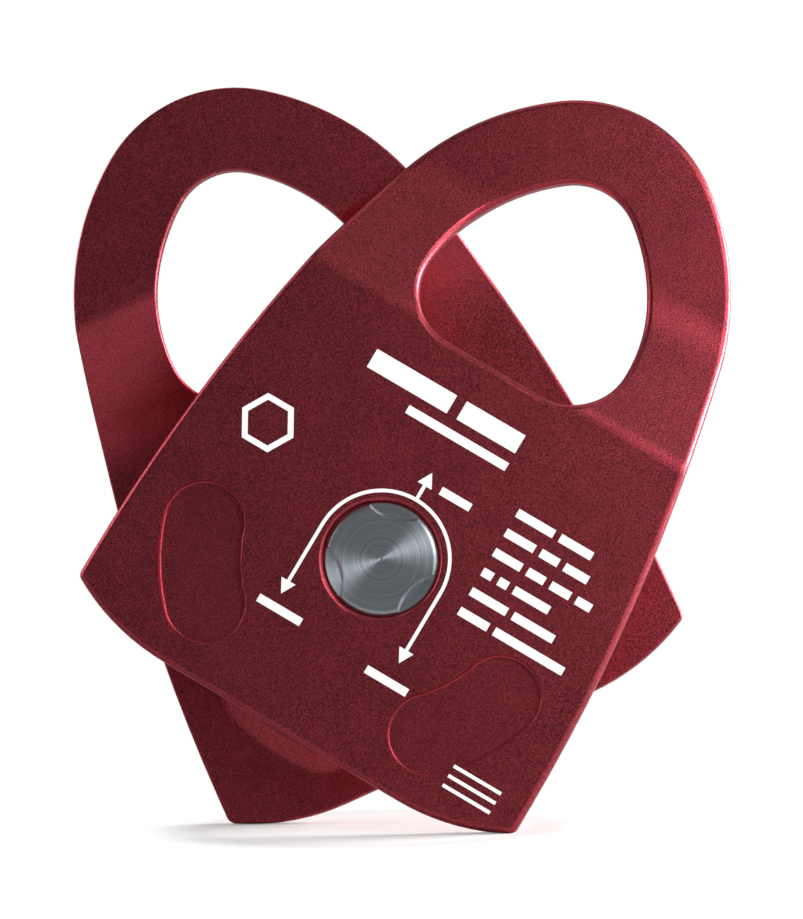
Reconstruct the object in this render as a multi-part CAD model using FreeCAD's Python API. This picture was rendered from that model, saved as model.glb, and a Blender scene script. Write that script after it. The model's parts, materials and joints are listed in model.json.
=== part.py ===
"""Rescue rope pulley: two joggled side plates that swing on one axle, and a sheave on two ball bearings.

The origin is the centre of the sheave. +Y runs along the axle from the front plate to the back plate,
+Z is up and the front faces -Y. The plates stand fanned open, each on one lower corner.
"""
import FreeCAD
import Part

import math
import os

from FreeCAD import Vector

# ---- Driving dimensions, in millimetres and degrees -------------------------------------------------
FAN_ANGLE = 27.5            # each plate leans this far from upright, the front one to the right

# Side plate, in its own frame: x across, z up its length from the axle
PLATE_THICKNESS = 4.8
PLATE_INNER_Y = 11.6        # inner face of the flat, measured from the mid-plane
EYE_INNER_Y = 0.15          # inner face of the eye, which meets its twin when the pulley is closed
PLATE_TOP_Z = 115.4
PLATE_ARCS = [(32.1, 36.2), (61.9, 39.1), (415.0, 14.7)]      # radius and turn, from the crown down
PLATE_BOTTOM_Z = -43.8
BOTTOM_FLAT_HALF = 30.0     # half length of the straight bottom edge
BOTTOM_ARC_RADIUS = 52.0    # the bottom edge curves up to the corners
CORNER_RADIUS = 2.0
OUTER_EDGE_RADIUS = 1.3
INNER_EDGE_RADIUS = 0.5

JOGGLE_LOW_Z = 50.0         # where the sheet bends inwards
JOGGLE_HIGH_Z = 77.3        # where it bends back to the eye
BEND_CONVEX_RADIUS = 8.0
BEND_CONCAVE_RADIUS = 28.0

EYE_TOP_Z = 96.5
EYE_ARCS = [(14.1, 37.8), (45.8, 24.6), (35.9, 27.6)]
EYE_BOTTOM_Z = 48.75

KIDNEY_CENTRE_RADIUS = 40.0     # the pressed kidneys are arc slots around the axle
KIDNEY_HALF_WIDTH = 9.2
KIDNEY_ANGLES = (-44.2, -18.5)
KIDNEY_DEPTH = 1.9
KIDNEY_BUMP_HEIGHT = 1.5
KIDNEY_BUMP_INSET = 0.6         # the bump inside is this much smaller all round
KIDNEY_BUMP_BLEND = 4.0         # radius at the bump's foot and again at its top
KIDNEY_BUMP_SLOPE = 25.0
KIDNEY_LIP_RADIUS = 0.6

DIMPLE_RADIUS = 12.95
DIMPLE_DEPTH = 2.4
DIMPLE_LIP_RADIUS = 0.9
BOSS_RADIUS = 13.0
BOSS_HEIGHT = 1.0

# Axle
AXLE_RADIUS = 7.49
AXLE_RUNNING_GAP = 0.06     # radial, between the axle and each plate
AXLE_END_PLAY = 0.05        # between each head and the floor of its dimple
HEAD_RADIUS = 12.45
HEAD_RECESS = 0.2           # the heads sit this far below the plates' outer faces
HEAD_EDGE_RADIUS = 1.1
NOTCH_COUNT = 3
NOTCH_RADIUS = 11.4         # each driving notch is a crescent cut by a larger circle
NOTCH_CENTRE = 20.3
NOTCH_DEPTH = 0.8
NOTCH_WALL_RUN = 0.55        # the notch walls lean back this far
NOTCH_PHASE = 12.0          # of the first notch, clockwise from up
CENTRE_MARK_RADIUS = 0.5
BOLT_RADIUS = 4.95
BARREL_BORE_RADIUS = 5.0
BARREL_BORE_DEPTH = 22.0
BOLT_LENGTH = 20.0
BOLT_TIP_CHAMFER = 0.8

# Sheave
SHEAVE_RADIUS = 30.0
SHEAVE_HALF_WIDTH = 10.6
TREAD_RADIUS = 22.5
GROOVE_RADIUS = 7.0
GROOVE_ARC = 65.0           # half angle of the round bottom of the groove
GROOVE_FLARE = 25.0         # slope of the flanges' inner sides
RIM_ROUNDING = 0.8
HUB_OPENING_RADIUS = 14.0
HUB_LIP_RADIUS = 12.9
HUB_LIP_WIDTH = 1.5

# Ball bearings, two side by side
BEARING_OUTER_RADIUS = 14.0
BEARING_BORE_RADIUS = 7.5
BEARING_WIDTH = 7.0
BALL_RADIUS = 1.985
BALL_COUNT = 10
PITCH_RADIUS = 10.75
RACEWAY_RADIUS = 2.03
INNER_SHOULDER_RADIUS = 9.3
OUTER_SHOULDER_RADIUS = 12.2
SEAL_SEAT_RADIUS = 12.75
SEAL_SEAT_DEPTH = 0.85
SEAL_THICKNESS = 0.6
SEAL_GAP = 0.1              # radial, between a seal's lip and the inner race
CAGE_INNER_RADIUS = 10.0
CAGE_OUTER_RADIUS = 11.5
CAGE_BACK = 2.4             # the cage's closed side, from the ball centres
CAGE_PRONG = 0.9            # how far its open side wraps past them
CAGE_POCKET_GAP = 0.1
RACE_CHAMFER = 0.3

# Retaining ring and spacers
RING_THICKNESS = 1.2
RING_OUTER_RADIUS = 14.85
RING_INNER_RADIUS = 12.9
RING_GROOVE_RADIUS = 14.9
RING_GROOVE_WIDTH = 1.3
RING_OPENING = 50.0         # angle between the ring's ends
RING_LUG_RADIUS = 2.2
RING_LUG_CENTRE = 12.2
RING_LUG_HOLE_RADIUS = 0.9
SPACER_RADIUS = 9.2
SPACER_END_PLAY = 0.1

# ---- Worked out from the above ----------------------------------------------------------------------
PLATE_OUTER_Y = PLATE_INNER_Y + PLATE_THICKNESS
DIMPLE_FLOOR_Y = PLATE_OUTER_Y - DIMPLE_DEPTH
BOSS_FACE_Y = PLATE_INNER_Y - BOSS_HEIGHT
HEAD_INNER_Y = DIMPLE_FLOOR_Y + AXLE_END_PLAY
HEAD_OUTER_Y = PLATE_OUTER_Y - HEAD_RECESS
CUT_MARGIN = 5.0            # how far cutting solids run past what they cut
PLANE_TOLERANCE = 1e-4
WALL_TOLERANCE = 0.1        # a face whose normal's Y is under this is a cut wall, not a skin
CORNER_SEARCH_X = 50.0      # the two sharp corners of the outline lie beyond these
CORNER_SEARCH_Z = -34.0

ALONG_Y = Vector(0, 1, 0)
ORIGIN = Vector(0, 0, 0)


# ---- Helpers ----------------------------------------------------------------------------------------
def flat(x, z):
    """A point in the plates' own plane."""
    return Vector(x, 0, z)


def mirrored_x(shape):
    return shape.mirror(ORIGIN, Vector(1, 0, 0))


def extruded(wire, y_low, y_high):
    """A closed wire in the XZ plane, as a solid between two Y values."""
    face = Part.Face(wire)
    face.translate(Vector(0, y_low, 0))
    return face.extrude(Vector(0, y_high - y_low, 0))


def cylinder(radius, y_low, y_high, centre=ORIGIN):
    base = Vector(centre.x, y_low, centre.z)
    return Part.makeCylinder(radius, y_high - y_low, base, ALONG_Y)


def tube(outer_radius, inner_radius, y_low, y_high):
    return cylinder(outer_radius, y_low, y_high).cut(
        cylinder(inner_radius, y_low - CUT_MARGIN, y_high + CUT_MARGIN))


def revolved(section_edges):
    """A closed section in the XY plane (x is the radius), turned about the axle."""
    face = Part.Face(Part.Wire(section_edges))
    return face.revolve(ORIGIN, ALONG_Y, 360)


def about_axle(shape, degrees):
    turned = shape.copy()
    turned.rotate(ORIGIN, ALONG_Y, degrees)
    return turned


def turned_to_back(shape):
    """The same piece turned over to the back side of the pulley."""
    turned = shape.copy()
    turned.rotate(ORIGIN, Vector(0, 0, 1), 180)
    return turned


def edges_in_plane(shape, y):
    """Edges that lie wholly at one Y value."""
    return [edge for edge in shape.Edges
            if abs(edge.BoundBox.YMin - y) < PLANE_TOLERANCE
            and abs(edge.BoundBox.YMax - y) < PLANE_TOLERANCE]


def circles_of(shape, radius):
    """The circular edges of one radius."""
    return [edge for edge in shape.Edges
            if edge.Curve.TypeId == "Part::GeomCircle" and abs(edge.Curve.Radius - radius) < PLANE_TOLERANCE]


def falling_arcs(top_z, arcs):
    """Tangent arcs from (0, top_z), level at first, each bending down by its turn. Returns edges, end."""
    x = 0.0
    z = top_z
    heading = 0.0
    edges = []
    for radius, turn in arcs:
        centre_x = x - radius * math.sin(math.radians(heading))
        centre_z = z - radius * math.cos(math.radians(heading))
        points = []
        for part_of_turn in (0.0, 0.5, 1.0):
            angle = math.radians(heading + turn * part_of_turn)
            points.append(flat(centre_x + radius * math.sin(angle), centre_z + radius * math.cos(angle)))
        edges.append(Part.Arc(*points).toShape())
        heading += turn
        x = points[-1].x
        z = points[-1].z
    return edges, points[-1]


def wire_with_mirror(right_edges):
    left_edges = [mirrored_x(edge) for edge in right_edges]
    return Part.Wire(Part.__sortEdges__(right_edges + left_edges))


# ---- Side plate -------------------------------------------------------------------------------------
def plate_outline():
    edges, widest = falling_arcs(PLATE_TOP_Z, PLATE_ARCS)
    rise = BOTTOM_ARC_RADIUS - math.sqrt(BOTTOM_ARC_RADIUS ** 2 - (widest.x - BOTTOM_FLAT_HALF) ** 2)
    corner = flat(widest.x, PLATE_BOTTOM_Z + rise)
    flat_end = flat(BOTTOM_FLAT_HALF, PLATE_BOTTOM_Z)
    halfway_x = (corner.x + flat_end.x) / 2
    halfway_drop = math.sqrt(BOTTOM_ARC_RADIUS ** 2 - (halfway_x - BOTTOM_FLAT_HALF) ** 2)
    halfway = flat(halfway_x, PLATE_BOTTOM_Z + BOTTOM_ARC_RADIUS - halfway_drop)
    edges.append(Part.makeLine(widest, corner))
    edges.append(Part.Arc(corner, halfway, flat_end).toShape())
    edges.append(Part.makeLine(flat_end, flat(0, PLATE_BOTTOM_Z)))
    return wire_with_mirror(edges)


def eye_outline():
    edges, widest = falling_arcs(EYE_TOP_Z, EYE_ARCS)
    radius = widest.z - EYE_BOTTOM_Z
    centre = flat(widest.x - radius, widest.z)
    slant = radius * math.sin(math.radians(45))
    bottom_end = flat(centre.x, EYE_BOTTOM_Z)
    edges.append(Part.Arc(widest, centre + flat(slant, -slant), bottom_end).toShape())
    edges.append(Part.makeLine(bottom_end, flat(0, EYE_BOTTOM_Z)))
    return wire_with_mirror(edges)


def joggle_section():
    """The bent sheet seen from its edge, in the YZ plane, for a plate on the +Y side."""
    run = JOGGLE_HIGH_Z - JOGGLE_LOW_Z
    fall = PLATE_INNER_Y - EYE_INNER_Y
    slope = math.atan2(fall, run)
    knee_shift = PLATE_THICKNESS * math.tan(slope / 2)

    def bent_line(y_offset, low_z, high_z, low_radius, high_radius, bottom_z, top_z):
        """Edges of one face: straight, arc, slope, arc, straight."""
        y_flat = PLATE_INNER_Y + y_offset
        y_eye = EYE_INNER_Y + y_offset
        low_cut = low_radius * math.tan(slope / 2)
        high_cut = high_radius * math.tan(slope / 2)
        along = Vector(0, -math.sin(slope), math.cos(slope))
        up = Vector(0, 0, 1)
        low = Vector(0, y_flat, low_z)
        high = Vector(0, y_eye, high_z)
        stations = [Vector(0, y_flat, bottom_z), low - up * low_cut, low + along * low_cut,
                    high - along * high_cut, high + up * high_cut, Vector(0, y_eye, top_z)]
        low_mid = arc_middle(stations[1], stations[2], low_radius, slope, Vector(0, -1, 0))
        high_mid = arc_middle(stations[3], stations[4], high_radius, slope, Vector(0, 1, 0))
        return [Part.makeLine(stations[0], stations[1]),
                Part.Arc(stations[1], low_mid, stations[2]).toShape(),
                Part.makeLine(stations[2], stations[3]),
                Part.Arc(stations[3], high_mid, stations[4]).toShape(),
                Part.makeLine(stations[4], stations[5])]

    bottom_z = PLATE_BOTTOM_Z - CUT_MARGIN
    top_z = PLATE_TOP_Z + CUT_MARGIN
    inner = bent_line(0, JOGGLE_LOW_Z, JOGGLE_HIGH_Z,
                      BEND_CONCAVE_RADIUS, BEND_CONVEX_RADIUS, bottom_z, top_z)
    outer = bent_line(PLATE_THICKNESS, JOGGLE_LOW_Z + knee_shift, JOGGLE_HIGH_Z + knee_shift,
                      BEND_CONVEX_RADIUS, BEND_CONCAVE_RADIUS, bottom_z, top_z)
    ends = [Part.makeLine(Vector(0, PLATE_INNER_Y, bottom_z), Vector(0, PLATE_OUTER_Y, bottom_z)),
            Part.makeLine(Vector(0, EYE_INNER_Y, top_z), Vector(0, EYE_INNER_Y + PLATE_THICKNESS, top_z))]
    return Part.Wire(Part.__sortEdges__(inner + outer + ends))


def arc_middle(start, end, radius, turn, towards_centre):
    """The middle of a bend's arc; towards_centre points roughly from the arc to its centre."""
    chord = end - start
    chord_middle = (start + end) * 0.5
    normal = Vector(0, -chord.z, chord.y).normalize()
    if normal.dot(towards_centre) > 0:
        normal = normal * -1
    return chord_middle + normal * (radius * (1 - math.cos(turn / 2)))


def kidney_wire(half_width):
    """An arc slot around the axle, on the right-hand side."""
    first, last = [math.radians(angle) for angle in KIDNEY_ANGLES]
    middle = (first + last) / 2
    outer = KIDNEY_CENTRE_RADIUS + half_width
    inner = KIDNEY_CENTRE_RADIUS - half_width

    def around(radius, angle):
        return flat(radius * math.cos(angle), radius * math.sin(angle))

    def end_cap(angle, side):
        centre = around(KIDNEY_CENTRE_RADIUS, angle)
        tip = centre + flat(-math.sin(angle), math.cos(angle)) * (half_width * side)
        return Part.Arc(around(outer, angle), tip, around(inner, angle)).toShape()

    edges = [Part.Arc(around(outer, first), around(outer, middle), around(outer, last)).toShape(),
             end_cap(last, 1),
             Part.Arc(around(inner, last), around(inner, middle), around(inner, first)).toShape(),
             end_cap(first, -1)]
    return Part.Wire(Part.__sortEdges__(edges))


def bump_half_section(half_width):
    """Half of the bump's section: x runs out from its middle, y from its top to inside the sheet."""
    slope = math.radians(KIDNEY_BUMP_SLOPE)
    blend_run = KIDNEY_BUMP_BLEND * math.sin(slope)
    blend_rise = KIDNEY_BUMP_BLEND * (1 - math.cos(slope))
    straight_run = (KIDNEY_BUMP_HEIGHT - 2 * blend_rise) / math.tan(slope)
    middle_run = KIDNEY_BUMP_BLEND * math.sin(slope / 2)
    middle_rise = KIDNEY_BUMP_BLEND * (1 - math.cos(slope / 2))
    top_y = PLATE_INNER_Y - KIDNEY_BUMP_HEIGHT
    root_y = PLATE_INNER_Y + KIDNEY_DEPTH
    shoulder_x = half_width - 2 * blend_run - straight_run
    top = [Vector(shoulder_x, top_y, 0),
           Vector(shoulder_x + middle_run, top_y + middle_rise, 0),
           Vector(shoulder_x + blend_run, top_y + blend_rise, 0)]
    foot = [Vector(half_width - blend_run, PLATE_INNER_Y - blend_rise, 0),
            Vector(half_width - middle_run, PLATE_INNER_Y - middle_rise, 0),
            Vector(half_width, PLATE_INNER_Y, 0)]
    corners = [foot[2], Vector(half_width, root_y, 0), Vector(0, root_y, 0), Vector(0, top_y, 0), top[0]]
    edges = [Part.makeLine(start, end) for start, end in zip(corners, corners[1:])]
    return edges + [Part.Arc(*top).toShape(), Part.makeLine(top[2], foot[0]), Part.Arc(*foot).toShape()]


def kidney_bump():
    """The soft bump that a kidney raises on the inside of the sheet, on the right-hand side."""
    half = Part.Face(Part.Wire(Part.__sortEdges__(bump_half_section(KIDNEY_HALF_WIDTH - KIDNEY_BUMP_INSET))))
    whole = half.fuse(mirrored_x(half)).removeSplitter()
    first, last = KIDNEY_ANGLES
    lane = whole.Faces[0].translated(Vector(KIDNEY_CENTRE_RADIUS, 0, 0))
    bump = about_axle(lane.revolve(ORIGIN, ALONG_Y, last - first), -last)
    for angle in (first, last):
        centre = flat(KIDNEY_CENTRE_RADIUS * math.cos(math.radians(angle)),
                      KIDNEY_CENTRE_RADIUS * math.sin(math.radians(angle)))
        bump = bump.fuse(half.revolve(ORIGIN, ALONG_Y, 360).translated(centre))
    return bump.removeSplitter()


def face_normal(face):
    u_low, u_high, v_low, v_high = face.ParameterRange
    return face.normalAt((u_low + u_high) / 2, (v_low + v_high) / 2)


def rim_edges(plate, side):
    """Edges between the cut walls and one skin of the sheet: side is 1 for the outer, -1 for the inner."""
    wall_codes = set()
    for face in plate.Faces:
        if abs(face_normal(face).y) < WALL_TOLERANCE:
            wall_codes.update(edge.hashCode() for edge in face.Edges)
    found = {}
    for face in plate.Faces:
        if face_normal(face).y * side > WALL_TOLERANCE:
            for edge in face.Edges:
                if edge.hashCode() in wall_codes:
                    found[edge.hashCode()] = edge
    return list(found.values())


def sheet_blank():
    """The joggled sheet cut to its outline and eye, with its edges rounded."""
    sheet = Part.Face(joggle_section())
    sheet.translate(Vector(-PLATE_TOP_Z, 0, 0))
    sheet = sheet.extrude(Vector(2 * PLATE_TOP_Z, 0, 0))
    outline = extruded(plate_outline(), -CUT_MARGIN, PLATE_OUTER_Y + CUT_MARGIN)
    lower_corners = [edge for edge in outline.Edges
                     if edge.BoundBox.YLength > PLATE_OUTER_Y and edge.BoundBox.ZMax < CORNER_SEARCH_Z
                     and abs(edge.BoundBox.XMin) > CORNER_SEARCH_X]
    outline = outline.makeFillet(CORNER_RADIUS, lower_corners)
    blank = sheet.common(outline)
    blank = blank.cut(extruded(eye_outline(), -CUT_MARGIN, PLATE_OUTER_Y + CUT_MARGIN))
    blank = blank.makeFillet(OUTER_EDGE_RADIUS, rim_edges(blank, 1))
    return blank.makeFillet(INNER_EDGE_RADIUS, rim_edges(blank, -1))


def back_plate_upright():
    """The side plate of the +Y side, with its eye straight up."""
    plate = sheet_blank()
    for place in (lambda shape: shape, mirrored_x):
        recess_floor = PLATE_OUTER_Y - KIDNEY_DEPTH
        recess = extruded(kidney_wire(KIDNEY_HALF_WIDTH), recess_floor, PLATE_OUTER_Y + CUT_MARGIN)
        recess = recess.makeFillet(KIDNEY_LIP_RADIUS, edges_in_plane(recess, recess_floor))
        plate = plate.fuse(place(kidney_bump())).cut(place(recess))
    plate = plate.fuse(cylinder(BOSS_RADIUS, BOSS_FACE_Y, PLATE_INNER_Y + BOSS_HEIGHT))
    plate = plate.cut(cylinder(DIMPLE_RADIUS, DIMPLE_FLOOR_Y, PLATE_OUTER_Y + CUT_MARGIN))
    plate = plate.removeSplitter()
    lips = [edge for edge in circles_of(plate, DIMPLE_RADIUS)
            if edge.BoundBox.Center.y > DIMPLE_FLOOR_Y + DIMPLE_DEPTH / 2]
    plate = plate.makeFillet(DIMPLE_LIP_RADIUS, lips)
    return plate.cut(cylinder(AXLE_RADIUS + AXLE_RUNNING_GAP, 0, PLATE_OUTER_Y))


def side_plates():
    upright = back_plate_upright()
    return {
        "front_side_plate": about_axle(turned_to_back(upright), FAN_ANGLE),
        "back_side_plate": about_axle(upright, -FAN_ANGLE),
    }


# ---- Axle -------------------------------------------------------------------------------------------
def axle_head():
    """The head on the +Y side: a low disc with crescent notches and a small centre mark."""
    head = cylinder(HEAD_RADIUS, HEAD_INNER_Y, HEAD_OUTER_Y)
    head = head.makeFillet(HEAD_EDGE_RADIUS, edges_in_plane(head, HEAD_OUTER_Y))
    for number in range(NOTCH_COUNT):
        angle = math.radians(NOTCH_PHASE + number * 360 / NOTCH_COUNT)
        floor_centre = Vector(-NOTCH_CENTRE * math.sin(angle), HEAD_OUTER_Y - NOTCH_DEPTH,
                              NOTCH_CENTRE * math.cos(angle))
        head = head.cut(Part.makeCone(NOTCH_RADIUS - NOTCH_WALL_RUN, NOTCH_RADIUS + NOTCH_WALL_RUN,
                                      2 * NOTCH_DEPTH, floor_centre, ALONG_Y))
    mark = Part.makeCone(0, CENTRE_MARK_RADIUS, CENTRE_MARK_RADIUS,
                         Vector(0, HEAD_OUTER_Y - CENTRE_MARK_RADIUS, 0), ALONG_Y)
    return head.cut(mark)


def axle():
    """The barrel comes through from the front and the bolt closes it from the back."""
    barrel = turned_to_back(axle_head()).fuse(cylinder(AXLE_RADIUS, -HEAD_INNER_Y, HEAD_INNER_Y))
    barrel = barrel.cut(cylinder(BARREL_BORE_RADIUS, HEAD_INNER_Y - BARREL_BORE_DEPTH, HEAD_INNER_Y))
    shank = cylinder(BOLT_RADIUS, HEAD_INNER_Y - BOLT_LENGTH, HEAD_INNER_Y)
    shank = shank.makeChamfer(BOLT_TIP_CHAMFER, edges_in_plane(shank, HEAD_INNER_Y - BOLT_LENGTH))
    return {
        "axle_barrel": barrel.removeSplitter(),
        "axle_bolt": axle_head().fuse(shank).removeSplitter(),
    }


# ---- Sheave -----------------------------------------------------------------------------------------
def groove_edges():
    """The groove from the front rim to the back rim, and the two points where it meets the rims."""
    centre_radius = TREAD_RADIUS + GROOVE_RADIUS
    arc = math.radians(GROOVE_ARC)
    arc_end = Vector(centre_radius - GROOVE_RADIUS * math.cos(arc), GROOVE_RADIUS * math.sin(arc), 0)
    flare = (SHEAVE_RADIUS - arc_end.x) * math.tan(math.radians(GROOVE_FLARE))
    rim = Vector(SHEAVE_RADIUS, arc_end.y + flare, 0)
    front_arc_end = Vector(arc_end.x, -arc_end.y, 0)
    front_rim = Vector(rim.x, -rim.y, 0)
    return [Part.makeLine(front_rim, front_arc_end),
            Part.Arc(front_arc_end, Vector(TREAD_RADIUS, 0, 0), arc_end).toShape(),
            Part.makeLine(arc_end, rim)], front_rim, rim


def sheave():
    groove, front_rim, back_rim = groove_edges()
    lip_y = -BEARING_WIDTH - HUB_LIP_WIDTH
    points = [back_rim,
              Vector(SHEAVE_RADIUS, SHEAVE_HALF_WIDTH, 0),
              Vector(HUB_OPENING_RADIUS, SHEAVE_HALF_WIDTH, 0),
              Vector(HUB_OPENING_RADIUS, BEARING_WIDTH + RING_GROOVE_WIDTH, 0),
              Vector(RING_GROOVE_RADIUS, BEARING_WIDTH + RING_GROOVE_WIDTH, 0),
              Vector(RING_GROOVE_RADIUS, BEARING_WIDTH, 0),
              Vector(BEARING_OUTER_RADIUS, BEARING_WIDTH, 0),
              Vector(BEARING_OUTER_RADIUS, -BEARING_WIDTH, 0),
              Vector(HUB_LIP_RADIUS, -BEARING_WIDTH, 0),
              Vector(HUB_LIP_RADIUS, lip_y, 0),
              Vector(HUB_OPENING_RADIUS, lip_y, 0),
              Vector(HUB_OPENING_RADIUS, -SHEAVE_HALF_WIDTH, 0),
              Vector(SHEAVE_RADIUS, -SHEAVE_HALF_WIDTH, 0),
              front_rim]
    sides = [Part.makeLine(a, b) for a, b in zip(points, points[1:])]
    wheel = revolved(Part.__sortEdges__(sides + groove))
    return wheel.makeFillet(RIM_ROUNDING, circles_of(wheel, SHEAVE_RADIUS))


def retaining_ring():
    """An internal snap ring, open at the top, with a holed lug at each end."""
    low_y = BEARING_WIDTH
    high_y = BEARING_WIDTH + RING_THICKNESS
    ring = tube(RING_OUTER_RADIUS, RING_INNER_RADIUS, low_y, high_y)
    half_opening = math.radians(RING_OPENING / 2)
    reach = 2 * RING_OUTER_RADIUS
    corners = [ORIGIN, flat(-reach * math.sin(half_opening), reach * math.cos(half_opening)),
               flat(reach * math.sin(half_opening), reach * math.cos(half_opening)), ORIGIN]
    ring = ring.cut(extruded(Part.makePolygon(corners), low_y - CUT_MARGIN, high_y + CUT_MARGIN))
    lug_angle = half_opening + RING_LUG_RADIUS / RING_LUG_CENTRE
    for side in (-1, 1):
        centre = flat(side * RING_LUG_CENTRE * math.sin(lug_angle), RING_LUG_CENTRE * math.cos(lug_angle))
        ring = ring.fuse(cylinder(RING_LUG_RADIUS, low_y, high_y, centre))
        ring = ring.cut(cylinder(RING_LUG_HOLE_RADIUS, low_y - CUT_MARGIN, high_y + CUT_MARGIN, centre))
    return ring.removeSplitter()


def spacer():
    """Sleeve between the back bearing's inner race and the back plate's boss."""
    return tube(SPACER_RADIUS, BEARING_BORE_RADIUS, BEARING_WIDTH, BOSS_FACE_Y - SPACER_END_PLAY)


# ---- Ball bearing, centred on the origin ------------------------------------------------------------
def raceway():
    return Part.makeTorus(PITCH_RADIUS, RACEWAY_RADIUS, ORIGIN, ALONG_Y)


def inner_race():
    half = BEARING_WIDTH / 2
    race = tube(INNER_SHOULDER_RADIUS, BEARING_BORE_RADIUS, -half, half)
    race = race.makeChamfer(RACE_CHAMFER, edges_in_plane(race, half) + edges_in_plane(race, -half))
    return race.cut(raceway())


def outer_race():
    half = BEARING_WIDTH / 2
    race = tube(BEARING_OUTER_RADIUS, OUTER_SHOULDER_RADIUS, -half, half)
    race = race.makeChamfer(RACE_CHAMFER, circles_of(race, BEARING_OUTER_RADIUS))
    for low_y in (-half - CUT_MARGIN, half - SEAL_SEAT_DEPTH):
        race = race.cut(cylinder(SEAL_SEAT_RADIUS, low_y, low_y + CUT_MARGIN + SEAL_SEAT_DEPTH))
    return race.cut(raceway())


def seal():
    """The seal of the bearing's +Y side, pressed against the step in the outer race."""
    inside_y = BEARING_WIDTH / 2 - SEAL_SEAT_DEPTH
    return tube(SEAL_SEAT_RADIUS, INNER_SHOULDER_RADIUS + SEAL_GAP, inside_y, inside_y + SEAL_THICKNESS)


def ball_places():
    for number in range(BALL_COUNT):
        angle = math.radians(number * 360 / BALL_COUNT)
        yield number + 1, flat(PITCH_RADIUS * math.sin(angle), PITCH_RADIUS * math.cos(angle))


def cage():
    """A crown cage: closed on the -Y side, with prongs that wrap past the balls on the +Y side."""
    ring = tube(CAGE_OUTER_RADIUS, CAGE_INNER_RADIUS, -CAGE_BACK, CAGE_PRONG)
    for _, place in ball_places():
        ring = ring.cut(Part.makeSphere(BALL_RADIUS + CAGE_POCKET_GAP, place))
    return ring


def bearing(name):
    """Every piece of one bearing, with the seal names told by which side faces outwards."""
    pieces = {
        f"{name}_inner_race": inner_race(),
        f"{name}_outer_race": outer_race(),
        f"{name}_cage": cage(),
        f"{name}_outboard_seal": seal(),
        f"{name}_inboard_seal": turned_to_back(seal()),
    }
    for number, place in ball_places():
        pieces[f"{name}_ball_{number:02d}"] = Part.makeSphere(BALL_RADIUS, place)
    return pieces


def bearings():
    """The back bearing fills the sheave from the middle backwards, and the front one is its twin."""
    placed = {}
    for name, is_back in (("front_bearing", False), ("back_bearing", True)):
        for node, shape in bearing(name).items():
            piece = shape if is_back else turned_to_back(shape)
            piece = piece.copy()
            piece.translate(Vector(0, BEARING_WIDTH / 2 if is_back else -BEARING_WIDTH / 2, 0))
            placed[node] = piece
    return placed


# ---- Assembly ---------------------------------------------------------------------------------------
def all_nodes():
    nodes = {}
    nodes.update(side_plates())
    nodes.update(axle())
    nodes["sheave"] = sheave()
    nodes["bearing_retaining_ring"] = retaining_ring()
    nodes["back_spacer"] = spacer()
    nodes["front_spacer"] = turned_to_back(spacer())
    nodes.update(bearings())
    return nodes


os.makedirs("parts", exist_ok=True)
for node_name, node_shape in all_nodes().items():
    if not node_shape.isValid():
        raise RuntimeError(f"{node_name} is not a valid shape")
    if node_shape.Volume <= 0:
        raise RuntimeError(f"{node_name} has no volume")
    node_shape.exportStep(f"parts/{node_name}.step")
    print(f"{node_name:28s} solids {len(node_shape.Solids)}  volume {node_shape.Volume:9.1f} mm3")
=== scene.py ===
"""The rope pulley's looks: its finishes, printed marks, a pale floor, soft light and the camera."""

import json
import math

import bmesh
import bpy
from mathutils import Matrix, Vector

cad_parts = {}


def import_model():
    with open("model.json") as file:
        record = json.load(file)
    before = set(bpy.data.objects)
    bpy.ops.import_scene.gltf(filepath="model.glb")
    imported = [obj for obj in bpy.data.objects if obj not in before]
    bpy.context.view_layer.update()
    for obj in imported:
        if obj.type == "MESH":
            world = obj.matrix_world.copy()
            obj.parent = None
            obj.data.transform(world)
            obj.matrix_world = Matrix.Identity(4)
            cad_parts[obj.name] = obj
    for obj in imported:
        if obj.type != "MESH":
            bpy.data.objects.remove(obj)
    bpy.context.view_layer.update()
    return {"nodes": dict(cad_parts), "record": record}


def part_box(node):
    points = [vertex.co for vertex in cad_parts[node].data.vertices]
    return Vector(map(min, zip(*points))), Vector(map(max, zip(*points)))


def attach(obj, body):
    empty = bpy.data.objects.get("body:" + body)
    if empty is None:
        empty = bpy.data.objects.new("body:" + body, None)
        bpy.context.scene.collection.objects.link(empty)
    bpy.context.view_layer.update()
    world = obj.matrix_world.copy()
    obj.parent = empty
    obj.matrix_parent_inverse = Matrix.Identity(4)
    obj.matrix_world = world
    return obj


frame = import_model()

MM = 0.001
FAN_ANGLE = math.radians(27.5)          # how far each plate leans from upright at rest

# Camera: almost square on, and a little below the object, which leans back as it stands
CAMERA_AZIMUTH = math.radians(3.556)
CAMERA_ELEVATION = math.radians(-5.815)
CAMERA_ROLL = math.radians(3.27)
CAMERA_DISTANCE = 1.2848
CAMERA_TARGET = Vector((0.0022, 0.0, 0.0238))
CAMERA_LENS = 225.8
CAMERA_SENSOR = 36.0
CAMERA_CLIP_END = 50.0

# The floor falls gently towards the camera, because the pulley leans back a little as it stands
FLOOR_FALL = 0.14
FLOOR_SIZE = 12.0
FLOOR_NEAR = 0.034              # the floor takes the full contact shadow out to here
FLOOR_FAR = 0.055               # and glows plain white by itself beyond here, painted light that hides any shadow there
FLOOR_NEAR_GLOW = 0.25          # what it gives off by itself close to the object
FLOOR_PAPER = 0.86              # how pale it is there, under the shadow
FLOOR_BOUNCE = (0.42, 0.42, 0.43, 1.0)      # its colour as the metal sees it


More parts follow.
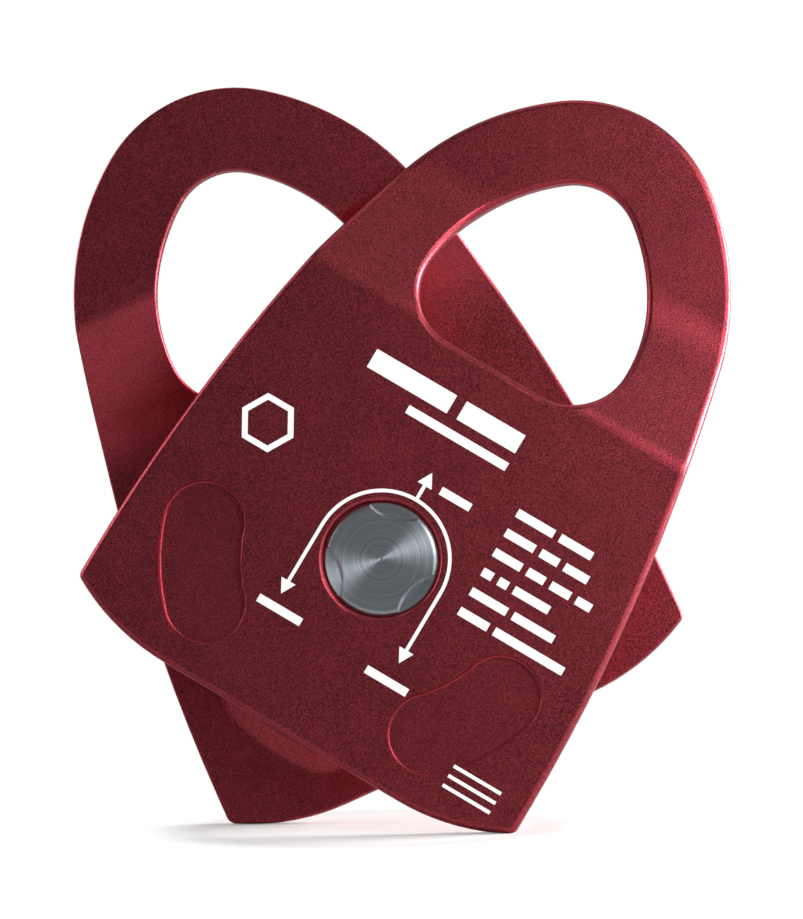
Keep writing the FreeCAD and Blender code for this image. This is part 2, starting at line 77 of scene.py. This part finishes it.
# ---- Shader helpers ---------------------------------------------------------------------------------
class Shader:
    """A material under construction, with short names for the few nodes that it uses."""

    def __init__(self, name):
        self.material = bpy.data.materials.new(name)
        self.material.use_nodes = True
        self.tree = self.material.node_tree
        self.surface = self.tree.nodes["Principled BSDF"]
        self.place = self.tree.nodes.new("ShaderNodeTexCoord").outputs["Object"]

    def set(self, **values):
        for name, value in values.items():
            self.surface.inputs[name.replace("_", " ")].default_value = value

    def node(self, kind, inputs=(), **settings):
        made = self.tree.nodes.new(kind)
        for name, value in settings.items():
            setattr(made, name, value)
        for name, value in dict(inputs).items():
            if isinstance(value, bpy.types.NodeSocket):
                self.tree.links.new(value, made.inputs[name])
            else:
                made.inputs[name].default_value = value
        return made

    def link(self, source, name):
        self.tree.links.new(source, self.surface.inputs[name])

    def math(self, operation, first, second=0.0):
        return self.node("ShaderNodeMath", {0: first, 1: second}, operation=operation).outputs[0]

    def noise(self, size, detail, roughness=0.5, place=None):
        """Noise whose features are about size across, in metres."""
        return self.node("ShaderNodeTexNoise", {
            "Vector": place or self.place, "Scale": 1.0 / size, "Detail": detail,
            "Roughness": roughness}).outputs["Fac"]

    def range(self, value, low, high, to_low, to_high):
        return self.node("ShaderNodeMapRange", {
            "Value": value, "From Min": low, "From Max": high, "To Min": to_low, "To Max": to_high,
        }).outputs["Result"]

    def mix(self, factor, first, second):
        made = self.node("ShaderNodeMix", data_type="RGBA")
        for socket, value in ((made.inputs[0], factor), (made.inputs[6], first), (made.inputs[7], second)):
            if isinstance(value, bpy.types.NodeSocket):
                self.tree.links.new(value, socket)
            else:
                socket.default_value = value
        return made.outputs[2]

    def bump(self, height, distance, strength):
        made = self.node("ShaderNodeBump", {"Height": height, "Distance": distance, "Strength": strength})
        self.link(made.outputs["Normal"], "Normal")


def colour(red, green, blue):
    return (red, green, blue, 1.0)


# ---- Finishes ---------------------------------------------------------------------------------------
# How large each finish's grain is, and how deep its surface goes
BLAST_GRAIN = 0.28 * MM
BLAST_DEPTH = 0.05 * MM
CLOUD_SIZE = 12.0 * MM
RING_SPACING = 0.45 * MM
METAL_GRAIN = 0.3 * MM
METAL_GRAIN_DEPTH = 0.003 * MM
SOFT_GRAIN = 0.8 * MM
SOFT_GRAIN_DEPTH = 0.02 * MM
PRINT_WEAR = 0.4 * MM


def red_anodised():
    """Bead-blasted aluminium, anodised clear red: a fine sparkle over a deep red metal."""
    shader = Shader("red_anodised")
    shader.set(Metallic=1.0, Coat_Weight=0.3, Coat_Roughness=0.55)
    grain = shader.noise(BLAST_GRAIN, detail=1.0, roughness=0.6)
    cloud = shader.noise(CLOUD_SIZE, detail=2.0)
    fine = shader.range(grain, 0.35, 0.65, 0.0, 0.8)
    broad = shader.range(cloud, 0.3, 0.7, 0.0, 0.2)
    tone = shader.math("ADD", fine, broad)
    shader.link(shader.mix(tone, colour(0.34, 0.040, 0.059), colour(0.84, 0.098, 0.132)), "Base Color")
    shader.link(shader.range(grain, 0.25, 0.75, 0.27, 0.41), "Roughness")
    shader.bump(grain, BLAST_DEPTH, 0.9)
    return shader.material


def turned_steel():
    """Stainless steel faced on a lathe: fine rings about the axle that stretch the highlights."""
    shader = Shader("turned_steel")
    shader.set(Metallic=1.0, Anisotropic=0.9, Anisotropic_Rotation=0.25)
    split = shader.node("ShaderNodeSeparateXYZ", {"Vector": shader.place})
    radius = shader.math("SQRT", shader.math(
        "ADD", shader.math("POWER", split.outputs["X"], 2.0), shader.math("POWER", split.outputs["Z"], 2.0)))
    ring_place = shader.node("ShaderNodeCombineXYZ", {"X": radius}).outputs["Vector"]
    rings = shader.noise(RING_SPACING, detail=3.0, roughness=0.7, place=ring_place)
    shader.link(shader.mix(shader.range(rings, 0.3, 0.7, 0.0, 1.0),
                           colour(0.44, 0.53, 0.61), colour(0.90, 0.96, 1.0)), "Base Color")
    shader.link(shader.range(rings, 0.3, 0.7, 0.27, 0.40), "Roughness")
    tangent = shader.node("ShaderNodeTangent", direction_type="RADIAL", axis="Y")
    shader.link(tangent.outputs["Tangent"], "Tangent")
    return shader.material


def plain_metal(name, low, high, roughness):
    """Bare metal with a fine grain that varies its colour, gloss and surface a little."""
    shader = Shader(name)
    shader.set(Metallic=1.0)
    grain = shader.noise(METAL_GRAIN, detail=3.0)
    shader.link(shader.mix(grain, low, high), "Base Color")
    shader.link(shader.range(grain, 0.3, 0.7, roughness * 0.9, roughness * 1.1), "Roughness")
    shader.bump(grain, METAL_GRAIN_DEPTH, 0.2)
    return shader.material


def plain_soft(name, low, high, roughness):
    """Plastic or rubber with a coarser, softer grain than the metals."""
    shader = Shader(name)
    grain = shader.noise(SOFT_GRAIN, detail=3.0)
    shader.link(shader.mix(grain, low, high), "Base Color")
    shader.link(shader.range(grain, 0.3, 0.7, roughness * 0.9, roughness * 1.1), "Roughness")
    shader.bump(grain, SOFT_GRAIN_DEPTH, 0.4)
    return shader.material


def white_print():
    """White ink, slightly lit from within, so that it reads as white under the soft light."""
    shader = Shader("white_print")
    shader.set(Metallic=0.0, Roughness=0.55, Emission_Color=colour(1.0, 0.98, 0.98), Emission_Strength=0.6)
    wear = shader.noise(PRINT_WEAR, detail=2.0)
    shader.link(shader.mix(shader.range(wear, 0.3, 0.6, 0.0, 1.0),
                           colour(0.88, 0.86, 0.86), colour(0.96, 0.95, 0.95)), "Base Color")
    return shader.material


PRINT = white_print()
FINISHES = {
    "red_anodised_aluminium": red_anodised(),
    "stainless_steel": turned_steel(),
    "sheave_aluminium": plain_metal(
        "sheave_metal", colour(0.62, 0.63, 0.65), colour(0.70, 0.71, 0.72), 0.40),
    "spacer_aluminium": plain_metal(
        "spacer_metal", colour(0.55, 0.56, 0.58), colour(0.70, 0.71, 0.72), 0.35),
    "bearing_steel": plain_metal(
        "ground_steel", colour(0.60, 0.60, 0.61), colour(0.75, 0.75, 0.76), 0.18),
    "ball_steel": plain_metal(
        "polished_steel", colour(0.74, 0.74, 0.75), colour(0.82, 0.82, 0.83), 0.06),
    "spring_steel": plain_metal(
        "spring_steel", colour(0.05, 0.05, 0.055), colour(0.11, 0.11, 0.12), 0.42),
    "cage_nylon": plain_soft(
        "cage_nylon", colour(0.60, 0.55, 0.44), colour(0.70, 0.66, 0.55), 0.45),
    "seal_rubber": plain_soft(
        "seal_rubber", colour(0.012, 0.012, 0.014), colour(0.03, 0.03, 0.032), 0.6),
}


def finish_cad_nodes():
    for part in frame["record"]["subparts"]:
        node = frame["nodes"][part["node"]]
        node.data.materials.clear()
        node.data.materials.append(FINISHES[part["material_slot"]])


# ---- Printed marks on the front plate ---------------------------------------------------------------
PLATE_FACE_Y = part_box("front_side_plate")[0].y
INK_THICKNESS = 0.008 * MM              # above the face, and as much again sunk into it
LINE_WIDTH = 0.8 * MM
ROPE_ARC_RADIUS = 15.1 * MM
ARC_CENTRE_X = 0.0
LEG_END_Z = -14.5 * MM                  # where the two straight legs meet their arrow heads
HEAD_LENGTH = 3.3 * MM
HEAD_WIDTH = 3.6 * MM
UP_ARROW_FOOT_Z = 15.4 * MM
UP_ARROW_TIP_Z = 22.0 * MM
ARC_STEPS = 48                          # flat steps in the half circle over the axle
WELD_DISTANCE = 0.001 * MM              # corners closer than this are the same corner

# Plain bars where the print is: each one's ends and width, in millimetres of the front plate's x and z
TITLE_BARS = [(-24.5, 37.2, -4.0, 37.2, 4.6), (-1.5, 37.2, 13.5, 37.2, 4.6), (-12.0, 31.4, 13.5, 31.4, 2.0)]
# Rows of blocks: where they start, their spacing, and each row's block lengths, in millimetres
DATA_LEFT = 20.6
DATA_TOP = 23.9
DATA_PITCH = 5.0
DATA_HEIGHT = 2.0
DATA_GAP = 1.5
DATA_WORDS = [(9.4, 8.2), (7.4, 4.6, 6.0), (7.0, 4.4, 5.0, 3.8), (2.6, 2.4, 9.0), (9.2, 10.4), (7.4, 17.6)]
LOAD_BARS = [(3.6, 19.6, 11.2, 19.6, 1.9), (-19.0, -21.0, -8.0, -21.0, 1.9),
             (9.5, -22.5, 20.0, -22.5, 1.9)]
CORNER_BARS = [(37.0, z, 49.0, z, 0.8) for z in (-31.0, -33.4, -35.8)]
HEXAGON_X = -37.0 * MM
HEXAGON_Z = 13.2 * MM
HEXAGON_RADIUS = 6.6 * MM               # to its outer corners
HEXAGON_WIDTH = 1.5 * MM


def join_skin(mesh):
    """Joins touching blocks into one skin, with no walls inside and every face turned outwards."""
    skin = bmesh.new()
    skin.from_mesh(mesh)
    bmesh.ops.remove_doubles(skin, verts=skin.verts, dist=WELD_DISTANCE)
    inner_walls = [face for face in skin.faces if all(len(edge.link_faces) > 2 for edge in face.edges)]
    bmesh.ops.delete(skin, geom=inner_walls, context="FACES")
    bmesh.ops.recalc_face_normals(skin, faces=skin.faces)
    skin.to_mesh(mesh)
    skin.free()


def ink(name, outlines):
    """Closed flat outlines in the front plate's own x and z, as one thin printed piece on its face."""
    points = []
    faces = []
    turn = Matrix.Rotation(FAN_ANGLE, 3, "Y")
    for outline in outlines:
        count = len(outline)
        start = len(points)
        for y in (PLATE_FACE_Y - INK_THICKNESS, PLATE_FACE_Y + INK_THICKNESS):
            points.extend(turn @ Vector((x, y, z)) for x, z in outline)
        faces.append([start + i for i in range(count)])
        faces.append([start + count + i for i in reversed(range(count))])
        for i in range(count):
            j = (i + 1) % count
            faces.append([start + i, start + count + i, start + count + j, start + j])
    mesh = bpy.data.meshes.new(name)
    mesh.from_pydata(points, [], faces)
    join_skin(mesh)
    piece = bpy.data.objects.new(name, mesh)
    bpy.context.scene.collection.objects.link(piece)
    mesh.materials.append(PRINT)
    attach(piece, "front_plate")


def bar(x0, z0, x1, z1, width):
    """A straight printed bar between two points."""
    along = Vector((x1 - x0, z1 - z0)).normalized()
    side = Vector((-along.y, along.x)) * (width / 2)
    return [(x0 + side.x, z0 + side.y), (x1 + side.x, z1 + side.y),
            (x1 - side.x, z1 - side.y), (x0 - side.x, z0 - side.y)]


def ring_quads(centre_x, centre_z, radius, width, start, end, steps):
    """A ring, or part of one, as short quads; the radius is to the middle of its width."""
    quads = []
    for number in range(steps):
        corner = []
        for step, r in ((number, radius - width / 2), (number + 1, radius - width / 2),
                        (number + 1, radius + width / 2), (number, radius + width / 2)):
            turn = start + (end - start) * step / steps
            corner.append((centre_x + r * math.cos(turn), centre_z + r * math.sin(turn)))
        quads.append(corner)
    return quads


def arrow_head(x, z, direction):
    """A triangle whose tip points along direction, its base's middle at (x, z)."""
    along = Vector(direction).normalized()
    side = Vector((-along.y, along.x)) * (HEAD_WIDTH / 2)
    tip = (x + along.x * HEAD_LENGTH, z + along.y * HEAD_LENGTH)
    return [(x + side.x, z + side.y), (x - side.x, z - side.y), tip]


def plain_bars(name, bars):
    """Plain blocks in place of print: each is its middle line's ends and its width."""
    ink(name, [bar(*[value * MM for value in each]) for each in bars])


def data_bars():
    """Rows of plain blocks, one for each word."""
    bars = []
    for row, lengths in enumerate(DATA_WORDS):
        z = DATA_TOP - row * DATA_PITCH
        start = DATA_LEFT
        for length in lengths:
            bars.append((start, z, start + length, z, DATA_HEIGHT))
            start += length + DATA_GAP
    return bars


def hexagon_mark():
    """A plain hexagon outline, made as a ring of six steps."""
    middle = HEXAGON_RADIUS - HEXAGON_WIDTH / 2
    ink("hexagon_mark", ring_quads(HEXAGON_X, HEXAGON_Z, middle, HEXAGON_WIDTH, 0.0, 2 * math.pi, 6))


def rope_path_mark():
    """The rope's way over the sheave, with an arrow down each leg and one up from the axle."""
    outlines = ring_quads(ARC_CENTRE_X, 0.0, ROPE_ARC_RADIUS, LINE_WIDTH, 0.0, math.pi, ARC_STEPS)
    for side in (-1, 1):
        x = ARC_CENTRE_X + side * ROPE_ARC_RADIUS
        outlines.append(bar(x, 0.0, x, LEG_END_Z, LINE_WIDTH))
        outlines.append(arrow_head(x, LEG_END_Z, (0, -1)))
    up_head_z = UP_ARROW_TIP_Z - HEAD_LENGTH
    outlines.append(bar(ARC_CENTRE_X, UP_ARROW_FOOT_Z, ARC_CENTRE_X, up_head_z, LINE_WIDTH))
    outlines.append(arrow_head(ARC_CENTRE_X, up_head_z, (0, 1)))
    ink("rope_path_mark", outlines)


# ---- Stage ------------------------------------------------------------------------------------------
def lowest_point(node):
    return min((vertex.co for vertex in frame["nodes"][node].data.vertices), key=lambda point: point.z)


def floor_plane():
    """A pale floor through the two corners that the plates stand on; further off it glows plain white by
    itself, painted light that hides shadows there.
    """
    front = Vector(lowest_point("front_side_plate"))
    back = Vector(lowest_point("back_side_plate"))
    towards_camera = Vector((0.0, -1.0, -FLOOR_FALL))
    normal = (back - front).cross(towards_camera).normalized()
    if normal.z < 0:
        normal.negate()
    bpy.ops.mesh.primitive_plane_add(size=FLOOR_SIZE, location=(front + back) / 2)
    floor = bpy.context.object
    floor.name = "floor"
    floor.rotation_mode = "QUATERNION"
    floor.rotation_quaternion = normal.to_track_quat("Z", "Y")
    shader = Shader("floor_paper")
    shader.set(Roughness=1.0, Specular_IOR_Level=0.0, Emission_Color=colour(1.0, 1.0, 1.0))
    distance = shader.node("ShaderNodeVectorMath", {0: shader.place}, operation="LENGTH").outputs["Value"]
    # Painted light: the floor's own glow rises from near the object to plain white further off, fading out
    # any shadow with distance
    glow = shader.node("ShaderNodeMapRange", {
        "Value": distance, "From Min": FLOOR_NEAR, "From Max": FLOOR_FAR, "To Min": FLOOR_NEAR_GLOW,
        "To Max": 1.0}, interpolation_type="SMOOTHSTEP").outputs["Result"]
    # Its paleness fades to nothing as the painted glow takes over
    paper = shader.range(distance, FLOOR_NEAR, FLOOR_FAR, FLOOR_PAPER, 0.0)
    shader.link(shader.node("ShaderNodeCombineXYZ", {"X": paper, "Y": paper, "Z": paper}).outputs["Vector"],
                "Base Color")
    shader.link(glow, "Emission Strength")
    bounce = shader.node("ShaderNodeBsdfDiffuse", {"Color": FLOOR_BOUNCE})
    path = shader.node("ShaderNodeLightPath")
    mix = shader.node("ShaderNodeMixShader", {
        0: path.outputs["Is Camera Ray"], 1: bounce.outputs[0], 2: shader.surface.outputs[0]})
    output = shader.tree.nodes["Material Output"]
    shader.tree.links.new(mix.outputs[0], output.inputs["Surface"])
    floor.data.materials.append(shader.material)


LAMP_TARGET = Vector((0.0, 0.0, 0.02))
# Each lamp's place, its width and height in metres, and its power in watts
LAMPS = {
    "key": ((0.90, -0.72, 0.39), (0.9, 0.9), 3.6),
    "above_camera": ((0.28, -0.465, 0.18), (0.26, 0.14), 0.42),
    "right_rim": ((1.1, 0.25, 0.20), (0.5, 0.8), 44.0),
    "left_fill": ((-1.1, -0.1, 0.4), (0.5, 0.8), 3.7),
    "overhead": ((0.0, 0.0, 1.2), (0.9, 0.9), 1.5),
}
WORLD_FRONT_LIGHT = 0.10        # from the camera's side
WORLD_BACK_LIGHT = 0.30         # from behind the object
WORLD_FADE = (-0.55, 0.5)       # the Y parts of a direction between which one turns into the other


def area_light(name, location, size, power):
    light = bpy.data.lights.new(name, "AREA")
    light.shape = "RECTANGLE"
    light.size, light.size_y = size
    light.energy = power
    lamp = bpy.data.objects.new(name, light)
    lamp.location = location
    lamp.rotation_mode = "QUATERNION"
    lamp.rotation_quaternion = (Vector(location) - LAMP_TARGET).to_track_quat("Z", "Y")
    bpy.context.scene.collection.objects.link(lamp)


def lights():
    for name, (location, size, power) in LAMPS.items():
        area_light(name, location, size, power)


def world():
    """White as a backdrop. As light it is dim, and dimmest from the camera's side."""
    made = bpy.data.worlds.new("studio")
    bpy.context.scene.world = made
    made.use_nodes = True
    tree = made.node_tree
    tree.nodes.clear()
    place = tree.nodes.new("ShaderNodeTexCoord")
    split = tree.nodes.new("ShaderNodeSeparateXYZ")
    ramp = tree.nodes.new("ShaderNodeMapRange")
    light = tree.nodes.new("ShaderNodeBackground")
    backdrop = tree.nodes.new("ShaderNodeBackground")
    path = tree.nodes.new("ShaderNodeLightPath")
    mix = tree.nodes.new("ShaderNodeMixShader")
    out = tree.nodes.new("ShaderNodeOutputWorld")
    tree.links.new(place.outputs["Generated"], split.inputs[0])
    tree.links.new(split.outputs["Y"], ramp.inputs["Value"])
    ramp.inputs["From Min"].default_value, ramp.inputs["From Max"].default_value = WORLD_FADE
    ramp.inputs["To Min"].default_value = WORLD_FRONT_LIGHT
    ramp.inputs["To Max"].default_value = WORLD_BACK_LIGHT
    tree.links.new(ramp.outputs["Result"], light.inputs["Strength"])
    backdrop.inputs["Strength"].default_value = 1.0
    backdrop.inputs["Color"].default_value = colour(1.0, 1.0, 1.0)
    tree.links.new(path.outputs["Is Camera Ray"], mix.inputs[0])
    tree.links.new(light.outputs[0], mix.inputs[1])
    tree.links.new(backdrop.outputs[0], mix.inputs[2])
    tree.links.new(mix.outputs[0], out.inputs[0])


def camera():
    data = bpy.data.cameras.new("camera")
    data.lens = CAMERA_LENS
    data.sensor_width = CAMERA_SENSOR
    data.clip_end = CAMERA_CLIP_END
    made = bpy.data.objects.new("camera", data)
    back = Vector((math.sin(CAMERA_AZIMUTH) * math.cos(CAMERA_ELEVATION),
                   -math.cos(CAMERA_AZIMUTH) * math.cos(CAMERA_ELEVATION),
                   math.sin(CAMERA_ELEVATION)))
    made.location = CAMERA_TARGET + back * CAMERA_DISTANCE
    made.rotation_mode = "QUATERNION"
    roll = Matrix.Rotation(CAMERA_ROLL, 4, "Z").to_quaternion()
    made.rotation_quaternion = (-back).to_track_quat("-Z", "Y") @ roll
    bpy.context.scene.collection.objects.link(made)
    bpy.context.scene.camera = made


finish_cad_nodes()
rope_path_mark()
plain_bars("title_bars", TITLE_BARS)
plain_bars("data_bars", data_bars())
plain_bars("load_bars", LOAD_BARS)
plain_bars("corner_bars", CORNER_BARS)
hexagon_mark()
floor_plane()
lights()
world()
camera()
bpy.context.scene.view_settings.view_transform = "Standard"
